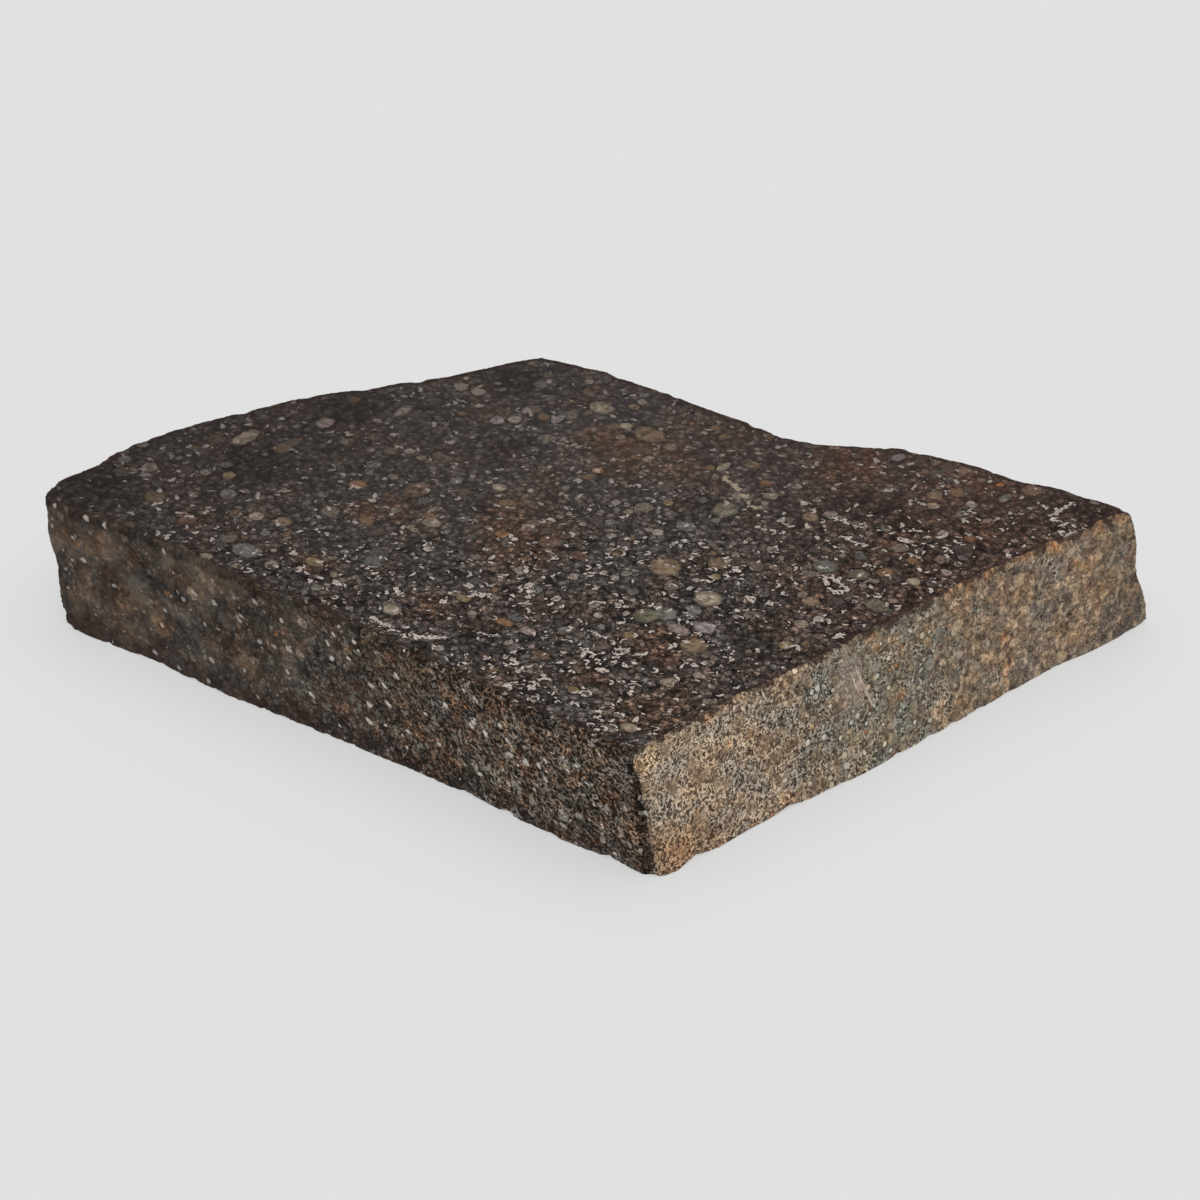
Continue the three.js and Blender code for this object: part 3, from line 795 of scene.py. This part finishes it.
mottled = tint(tree, wall_colour, ramp(tree, cloud(tree, bent, 0.9, 3.0, 0.6), MOTTLES))
mottled = triple(tree, "MULTIPLY", mottled, MOTTLE_LIFT)
wall_colour = blend(tree, fade(tree, along, -4.0, 8.0, 0.1, 1.0), wall_colour, mottled)
# From the near end to the far one its tone goes from a warm one to a cool one and back, then darker.
ALONG_TONES = tones(
    (0, 246, 240, 234), (0.28, 240, 239, 238), (0.46, 222, 234, 238), (0.6, 234, 238, 238),
    (0.78, 255, 251, 246), (0.92, 251, 250, 247), (1, 220, 222, 222),
)
NEAR_END, FAR_END = -20.8, 18.9
whole_way = fade(tree, along, NEAR_END, FAR_END, smooth=False)
wall_colour = tint(tree, wall_colour, ramp(tree, whole_way, ALONG_TONES))
WALL_TURN, WALL_LEAN, WIDER = 0.239, 0.06, 1.2
placed = {tint_of: [] for tint_of in SHORT_FEATURES}
for tint_of, spots in SHORT_FEATURES.items():
    for y, height, half in spots:
        x = NEAR_ARRIS_TOP.x + WALL_TURN * (y - NEAR_END) + WALL_LEAN * (thickness - height)
        placed[tint_of].append(((x, y, height), (half * WIDER, half * WIDER, half)))
wall_colour, _ = lay(tree, wall_colour, bent, grains["Crumb"], placed, 0.4, 0.65, "MULTIPLY")
# A scraped patch near the middle, and a rusty foot at the near end: (middle, half sizes) by tone or tint.
# A few light scratches run down the patch: (from, to, half width), with x left out.
SCRAPED = {paint(118, 105, 98): [((22.3, -4.3, 6.4), (1.5, 0.9, 2.1))]}
RUSTY_FOOT = {(0.84, 0.68, 0.58, 1): [((19.2, -17.6, 0.9), (3.0, 3.0, 1.9))]}
SCRATCH_TONE = paint(176, 166, 156)
SCRATCHES = [
    ((0, -3.8, 7.1), (0, -2.8, 4.3), 0.08), ((0, -4.25, 7.1), (0, -3.75, 5.5), 0.05),
    ((0, -5.0, 6.8), (0, -4.4, 5.5), 0.05),
]
wall_colour, _ = lay(tree, wall_colour, bent, worm, SCRAPED, 0.5, 0.45)
on_wall = triple(tree, "MULTIPLY", bent, (0.0, 1.0, 1.0))
scratch_share = fade(tree, worm, 0.35, 0.6, 0.15, 0.55)
for start, end, half in SCRATCHES:
    away = near_line(tree, on_wall, start, end)
    over = times(tree, fade(tree, away, half * 1.8, half * 0.5), scratch_share)
    wall_colour = blend(tree, over, wall_colour, SCRATCH_TONE)
wall_colour, _ = lay(tree, wall_colour, point, worm, RUSTY_FOOT, 0.6, 0.8, "MULTIPLY")
# Under the top arris runs a broken dark line, and towards the far end one of rust.
RUST_LINE_TINT, DARK_LINE_TONE = (1.0, 0.64, 0.42), paint(46, 35, 30)
height_above = axis_of(tree, point, Z)
broken = cloud(tree, bent, 0.8, 2.0, 0.6)
rust_line = times(tree, fade(tree, height_above, 8.2, 8.9), fade(tree, broken, 0.48, 0.6))
rust_line = times(tree, rust_line, fade(tree, along, -2.0, 8.0, 0.15, 0.55))
wall_colour = blend(tree, rust_line, wall_colour, triple(tree, "MULTIPLY", wall_colour, RUST_LINE_TINT))
dark_arris_line = reckon(tree, "ADD", height_above, fade(tree, broken, 0.4, 0.6, 0.25, -0.3, smooth=False))
wall_colour = blend(tree, fade(tree, dark_arris_line, 8.72, 8.95, 0.0, 0.85), wall_colour, DARK_LINE_TONE)
feed(tree, wall_colour, shader.inputs["Base Color"])
roughen(tree, shader, worm, 0.05)


# The long wall, more roughly sawn, dull and dark, with oblique saw marks, bright broken metal with painted
# glints (highlights of its facets), and rust. By tint, its features are (x, height, half size), and so are
# its painted glints.
FLINT = (0.86, 0.96, 1.04, 1)
LONG_FEATURES = {
    RUSTY: [
        (5.2, 6.0, 0.36), (3.7, 4.6, 0.4), (4.9, 4.9, 0.25), (7.3, 6.0, 0.25), (10.3, 4.4, 0.5),
        (10.3, 2.3, 0.36), (15.3, 1.3, 0.5), (-20.1, 7.4, 0.45), (-2.9, 4.6, 0.42), (-1.3, 4.1, 0.36),
        (-1.4, 1.8, 0.5), (0.1, 7.9, 0.45),
    ],
    FAWN: [
        (8.0, 8.0, 0.36), (11.1, 7.0, 0.75), (13.5, 7.7, 0.5), (4.2, 2.3, 0.55), (8.5, 3.7, 0.6),
        (-26.2, 6.8, 0.8), (-22.9, 7.2, 1.0), (-21.3, 3.5, 1.2), (-17.7, 3.0, 0.8), (-11.7, 3.2, 1.0),
        (-6.8, 5.7, 0.7), (-4.8, 2.4, 0.6), (0.6, 4.6, 0.42), (2.2, 3.0, 0.5), (16.4, 4.8, 0.8),
        (17.6, 3.6, 0.7),
    ],
    FLINT: [(-16.0, 4.2, 1.0), (-18.1, 7.8, 0.7), (-5.6, 6.5, 0.5), (1.7, 5.7, 0.8)],
}
PAINTED_GLINTS = [
    (6.3, 6.0, 0.26), (8.5, 6.8, 0.24), (9.0, 5.9, 0.26), (10.4, 5.0, 0.3), (11.3, 5.2, 0.26),
    (11.8, 5.8, 0.22), (11.8, 4.4, 0.24), (14.8, 5.3, 0.22), (6.6, 7.8, 0.28), (-24.9, 7.0, 0.2),
    (-22.4, 8.7, 0.2), (-17.7, 8.6, 0.24), (-15.3, 6.5, 0.26), (-16.2, 5.7, 0.24), (-13.7, 6.4, 0.26),
    (-11.8, 6.0, 0.32), (-17.8, 4.3, 0.2), (-7.9, 5.3, 0.32), (-4.8, 7.0, 0.26), (-3.2, 6.5, 0.24),
    (0.4, 6.7, 0.3), (-0.5, 5.6, 0.26), (-1.5, 5.3, 0.26), (-0.3, 4.4, 0.3), (-1.8, 3.7, 0.24),
    (-1.9, 2.4, 0.28), (-6.2, 2.7, 0.26), (-10.4, 7.8, 0.26),
]
STREAKS = tones(
    (0, 206, 200, 192), (0.16, 98, 90, 83), (0.27, 16, 14, 14), (0.36, 70, 64, 60), (0.48, 190, 184, 177),
    (0.57, 66, 60, 56), (0.65, 15, 13, 13), (0.76, 92, 83, 75), (0.88, 202, 195, 186), (1, 40, 36, 35),
)
tree, shader, point = new_finish("long sawn wall", IOR=1.5, Specular_IOR_Level=0.06, Roughness=0.75)
# The grains are finer, and drawn out a little along the saw's marks, which run down to the right.
DRAWN_OUT, FINER = 1.3, 1.25
RUN, FALL = 0.75, 0.66
along = triple(tree, "DOT_PRODUCT", point, (RUN / DRAWN_OUT, 0.0, -FALL / DRAWN_OUT), output=1)
across = triple(tree, "DOT_PRODUCT", point, (FALL, 0.0, RUN), output=1)
depth = triple(tree, "DOT_PRODUCT", point, (0.0, 1.0, 0.0), output=1)
marks = add_node(tree, "ShaderNodeCombineXYZ", {"X": along, "Y": across, "Z": depth})
grains = use_group(tree, stone, {"Point": point, "Fabric": dim(tree, marks, FINER)})
bent = triple(tree, "ADD", point, grains["Wander"])
bent_marks = triple(tree, "ADD", marks, grains["Wander"])
streak = cloud(tree, marks, 1.9, 2.0, 0.6, 0.2)
wall_colour = ramp(tree, fade(tree, streak, 0.22, 0.78, smooth=False), STREAKS)
wall_colour = crumble(tree, wall_colour, grains["Crumb"], 0.66, 1.3)
wall_colour = blend(tree, 0.5, wall_colour, dim(tree, grains["Colour"], 15.5), mode="MULTIPLY")
# To the left the streaks give way to the plain stone under a soft film.
PLAIN_LIFT, RIGHT_TINT = (2.3, 2.18, 2.02), (1.02, 0.96, 0.89)
SOFT_TONES = tones((0.36, 44, 38, 36), (0.5, 74, 67, 62), (0.64, 112, 102, 92))
from_middle = axis_of(tree, point, X)
rightward = fade(tree, from_middle, -12.0, 13.0, 0.06, 0.75)
plain_colour = triple(tree, "MULTIPLY", grains["Colour"], PLAIN_LIFT)
plain_colour = dim(tree, plain_colour, fade(tree, rightward, 0.06, 0.4, 1.0, 0.68, smooth=False))
softened = fade(tree, rightward, 0.06, 0.5, 0.5, 0.2, smooth=False)
film = ramp(tree, cloud(tree, point, 0.55, 3.0, 0.6), SOFT_TONES)
plain_colour = blend(tree, softened, plain_colour, film)
wall_colour = blend(tree, rightward, plain_colour, wall_colour)
wall_colour = blend(tree, rightward, wall_colour, triple(tree, "MULTIPLY", wall_colour, RIGHT_TINT))
LONG_PATCHES = tones((0.38, 226, 232, 234), (0.5, 234, 230, 224), (0.62, 250, 238, 222))
wall_colour = tint(tree, wall_colour, ramp(tree, cloud(tree, point, 0.45, 2.0, 0.6), LONG_PATCHES))
LONG_WALL_Y = -20.7
placed = {
    tint_of: [((x, LONG_WALL_Y, height), (half, 1.0, half)) for x, height, half in spots]
    for tint_of, spots in LONG_FEATURES.items()
}
wall_colour, _ = lay(tree, wall_colour, bent, grains["Crumb"], placed, 0.5, 0.6, "MULTIPLY")
# From the left end to the right one it goes from light to dark and back: (place, factor).
LEFT_END, RIGHT_END = -27.3, 18.1
LENGTHWISE = [(0.0, 1.28), (0.36, 1.1), (0.56, 0.85), (0.8, 0.86), (1.0, 1.0)]
whole_way = fade(tree, from_middle, LEFT_END, RIGHT_END, smooth=False)
light_or_dark = ramp(tree, whole_way, [(place, (factor, factor, factor, 1)) for place, factor in LENGTHWISE])
wall_colour = triple(tree, "MULTIPLY", wall_colour, light_or_dark)
gloom = cloud(tree, point, 0.6, 3.0, 0.6)
wall_colour = dim(tree, wall_colour, fade(tree, gloom, 0.42, 0.54, 0.72, 1.05))
# Rust lies in patches, the foot is dark, both arrises are darkened as painted shade, and the metal, with
# painted glints, lies on top of all.
LONG_RUST_TINT, FOOT_TONE, METAL_AND_HIGHLIGHT_TONE = (0.92, 0.66, 0.53), paint(40, 31, 29), paint(206, 198, 190)
rust_share = fade(tree, rightward, 0.06, 0.3, 0.25, 0.6)
rust = fade(tree, cloud(tree, bent, 0.75, 3.0, 0.6), 0.54, 0.62, 0.0, rust_share)
wall_colour = blend(tree, rust, wall_colour, triple(tree, "MULTIPLY", wall_colour, LONG_RUST_TINT))
height_above = axis_of(tree, bent, Z)
foot = times(tree, fade(tree, height_above, 2.4, 0.4), 0.55)
wall_colour = blend(tree, foot, wall_colour, FOOT_TONE)
# Painted shade under the top arris, where the chipped edge would lie in shadow.
wall_colour = dim(tree, wall_colour, fade(tree, height_above, 8.2, 8.85, 1.0, 0.5))
# Painted shade along the near upright arris, as in a dark crevice there.
INSET = Vector((0.3, 0, 0))
from_arris = near_line(tree, bent, NEAR_ARRIS_FOOT - INSET, NEAR_ARRIS_TOP - INSET)
wall_colour = dim(tree, wall_colour, fade(tree, from_arris, 0.45, 0.15, 1.0, 0.35))
# Pale metal, with painted highlights of its facets as bright flecks: placed glints and scattered sparks.
metal_and_painted_glint = times(tree, grains["Metal"], reckon(tree, "MULTIPLY_ADD", rightward, 0.5, 0.08))
painted_sparks = droplets(tree, bent_marks, 0.7, 0.62, 0.05, 0.2)
metal_and_painted_glint = reckon(tree, "MAXIMUM", metal_and_painted_glint, fade(tree, painted_sparks["Depth"], -0.03, 0.05))
PAINTED_GLINT_SHAPE = (0.8, 1.1, 0.1)
for x, height, half in PAINTED_GLINTS:
    middle = ((RUN * x - FALL * height) / DRAWN_OUT, FALL * x + RUN * height, LONG_WALL_Y)
    local = triple(tree, "SUBTRACT", bent_marks, middle)
    away = triple(tree, "LENGTH", triple(tree, "MULTIPLY", local, PAINTED_GLINT_SHAPE), output=1)
    metal_and_painted_glint = reckon(tree, "MAXIMUM", metal_and_painted_glint, fade(tree, away, half * 0.75, half * 0.35))
metal_and_painted_glint_share = fade(tree, grains["Crumb"], 0.4, 0.6, 0.5, 1.0, smooth=False)
metal_and_painted_glint_share = times(tree, metal_and_painted_glint_share, fade(tree, rightward, 0.06, 0.2, 0.6, 1.0))
wall_colour = blend(tree, times(tree, metal_and_painted_glint, metal_and_painted_glint_share), wall_colour, METAL_AND_HIGHLIGHT_TONE)
feed(tree, wall_colour, shader.inputs["Base Color"])
roughen(tree, shader, streak, 0.08)


# The weathered rim: the meteorite's outer skin, brown black, in which worn chondrules show as small
# knobs, with grit between them and patches of rust.
tree, shader, point = new_finish("weathered rim", IOR=1.5, Specular_IOR_Level=0.08, Roughness=0.8)
grains = use_group(tree, stone, {"Point": point, "Fabric": point})
bent = triple(tree, "ADD", point, grains["Wander"])
skin = cloud(tree, bent, 1.3, 5.0, 0.7)
SKIN_TONES = tones((0.34, 27, 23, 22), (0.45, 52, 43, 38), (0.54, 70, 58, 49), (0.66, 98, 82, 68))
rim_colour = blend(tree, 0.6, grains["Colour"], ramp(tree, skin, SKIN_TONES))
grit = cloud(tree, point, 6.0, 2.0, 0.65)
rim_colour = dim(tree, rim_colour, fade(tree, grit, 0.36, 0.64, 0.5, 1.6, smooth=False))
knobs = droplets(tree, bent, 0.85, 0.6, 0.1, 0.34)
rim_colour = dim(tree, rim_colour, fade(tree, knobs["Depth"], -0.12, -0.02, 1.0, 0.6))
KNOB_TONES = tones((0, 96, 84, 74), (0.35, 74, 66, 60), (0.6, 116, 104, 92), (0.85, 104, 78, 56))
RIM_RUST = paint(96, 60, 36)
knob_tone = ramp(tree, knobs["Tint"], KNOB_TONES, stepped=True)
knob_tone = dim(tree, knob_tone, fade(tree, grit, 0.36, 0.64, 0.7, 1.3))
rim_colour = blend(tree, fade(tree, knobs["Depth"], -0.03, 0.05, 0.0, 0.7), rim_colour, knob_tone)
rust = fade(tree, cloud(tree, bent, 1.7, 3.0, 0.6), 0.58, 0.66, 0.0, 0.55)
rim_colour = blend(tree, rust, rim_colour, RIM_RUST)
feed(tree, rim_colour, shader.inputs["Base Color"])
relief = reckon(tree, "ADD", times(tree, skin, 0.7), times(tree, grit, 0.3))
roughen(tree, shader, relief, 0.25)


# The underside, flat from the saw and never polished: duller than the top, greyed by stone flour, and
# with the saw's faint parallel marks.
tree, shader, point = new_finish("sawn underside", IOR=1.5, Specular_IOR_Level=0.08, Roughness=0.8)
grains = use_group(tree, stone, {"Point": point, "Fabric": point})
KERFS = {"Scale": 0.55, "Distortion": 1.2, "Detail": 2.0}
DUST, DULL_METAL = paint(96, 90, 82), paint(150, 142, 134)
kerf = add_node(tree, "ShaderNodeTexWave", {"Vector": point, **KERFS}, output=1)
dusty = blend(tree, 0.35, dim(tree, grains["Colour"], 1.3), DUST)
dusty = dim(tree, dusty, fade(tree, kerf, 0.0, 1.0, 0.88, 1.08, smooth=False))
feed(tree, blend(tree, grains["Metal"], dusty, DULL_METAL), shader.inputs["Base Color"])
roughen(tree, shader, kerf, 0.03)

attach(slice_piece, "root")
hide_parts("slab")


# The floor: a wide sheet of matt pale paper under the slab, which glows a little, so that it looks
# flat and keeps only a faint soft shadow. It isn't part of the object.
FLOOR_REACH, FLOOR_SHARE, FLOOR_GLOW = 3.0, 0.35, 0.65
PALE_PAPER = paint(227, 227, 227)
corners = [(x * FLOOR_REACH, y * FLOOR_REACH, 0) for x, y in ((-1, -1), (1, -1), (1, 1), (-1, 1))]
floor_mesh = bpy.data.meshes.new("floor")
floor_mesh.from_pydata(corners, [], [(0, 1, 2, 3)])
floor = bpy.data.objects.new("floor", floor_mesh)
bpy.context.scene.collection.objects.link(floor)
floor_paper = bpy.data.materials.new("pale paper")
floor_paper.use_nodes = True
floor_shader = floor_paper.node_tree.nodes["Principled BSDF"]
floor_shader.inputs["Base Color"].default_value = [part * FLOOR_SHARE for part in PALE_PAPER[:3]] + [1.0]
floor_shader.inputs["Emission Color"].default_value = PALE_PAPER
floor_shader.inputs["Emission Strength"].default_value = FLOOR_GLOW
floor_shader.inputs["Roughness"].default_value = 1.0
floor_shader.inputs["Specular IOR Level"].default_value = 0.0
floor_mesh.materials.append(floor_paper)


# The light: a broad soft sheet overhead, a warm low lamp from the right, a weak one from the front,
# and a dim room. The two lamps light the stone alone.
def light_sheet(name, bearing, rise, distance, width, power, colour):
    """A square lamp, aimed at the middle of the slab: its bearing and rise in degrees, its distance and
    width in metres, and its power in watts."""
    lamp = bpy.data.lights.new(name, "AREA")
    lamp.size = width
    lamp.energy = power
    lamp.color = colour
    turn, lift = math.radians(bearing), math.radians(rise)
    towards = Vector((math.cos(turn) * math.cos(lift), math.sin(turn) * math.cos(lift), math.sin(lift)))
    placed = bpy.data.objects.new(name, lamp)
    placed.location = towards * distance
    placed.rotation_euler = towards.to_track_quat("Z", "Y").to_euler()
    bpy.context.scene.collection.objects.link(placed)
    return placed


light_sheet("overhead sheet", 0, 89.9, 0.9, 1.2, 5.8, (1.0, 1.0, 1.0))
for lamp in (
    light_sheet("warm low lamp", 14, 24, 0.35, 0.12, 0.95, (1.0, 0.88, 0.76)),
    light_sheet("soft front lamp", -102, 14, 0.6, 0.3, 0.64, (1.0, 0.98, 0.96)),
):
    lamp.light_linking.receiver_collection = bpy.data.collections.new(f"lit by the {lamp.name}")
    lamp.light_linking.receiver_collection.objects.link(slice_piece)

room = bpy.data.worlds.new("dim room")
room.use_nodes = True
room.node_tree.nodes["Background"].inputs["Color"].default_value = (1.0, 1.0, 1.0, 1.0)
room.node_tree.nodes["Background"].inputs["Strength"].default_value = 0.5
bpy.context.scene.world = room
bpy.context.scene.view_settings.view_transform = "Standard"


# The camera, with a long lens, a quarter of a metre off and a third of the way up from level. It looks
# past the slab's near corner at its middle.
AIM = Vector((3.15, -3.65, 4.5)) * MM
CAMERA_DISTANCE = 0.2487
CAMERA_BEARING, CAMERA_RISE, CAMERA_TILT = math.radians(35.48), math.radians(33.0), math.radians(1.0)
back = Vector((
    math.sin(CAMERA_BEARING) * math.cos(CAMERA_RISE),
    -math.cos(CAMERA_BEARING) * math.cos(CAMERA_RISE),
    math.sin(CAMERA_RISE),
))
camera_data = bpy.data.cameras.new("camera")
camera_data.lens = 120
camera_data.sensor_width = 36
camera_data.clip_start = 0.01
camera_data.clip_end = 20
camera = bpy.data.objects.new("camera", camera_data)
camera.rotation_mode = "QUATERNION"
camera.location = AIM + back * CAMERA_DISTANCE
camera.rotation_quaternion = (-back).to_track_quat("-Z", "Y") @ Quaternion((0, 0, 1), CAMERA_TILT)
bpy.context.scene.collection.objects.link(camera)
bpy.context.scene.camera = camera
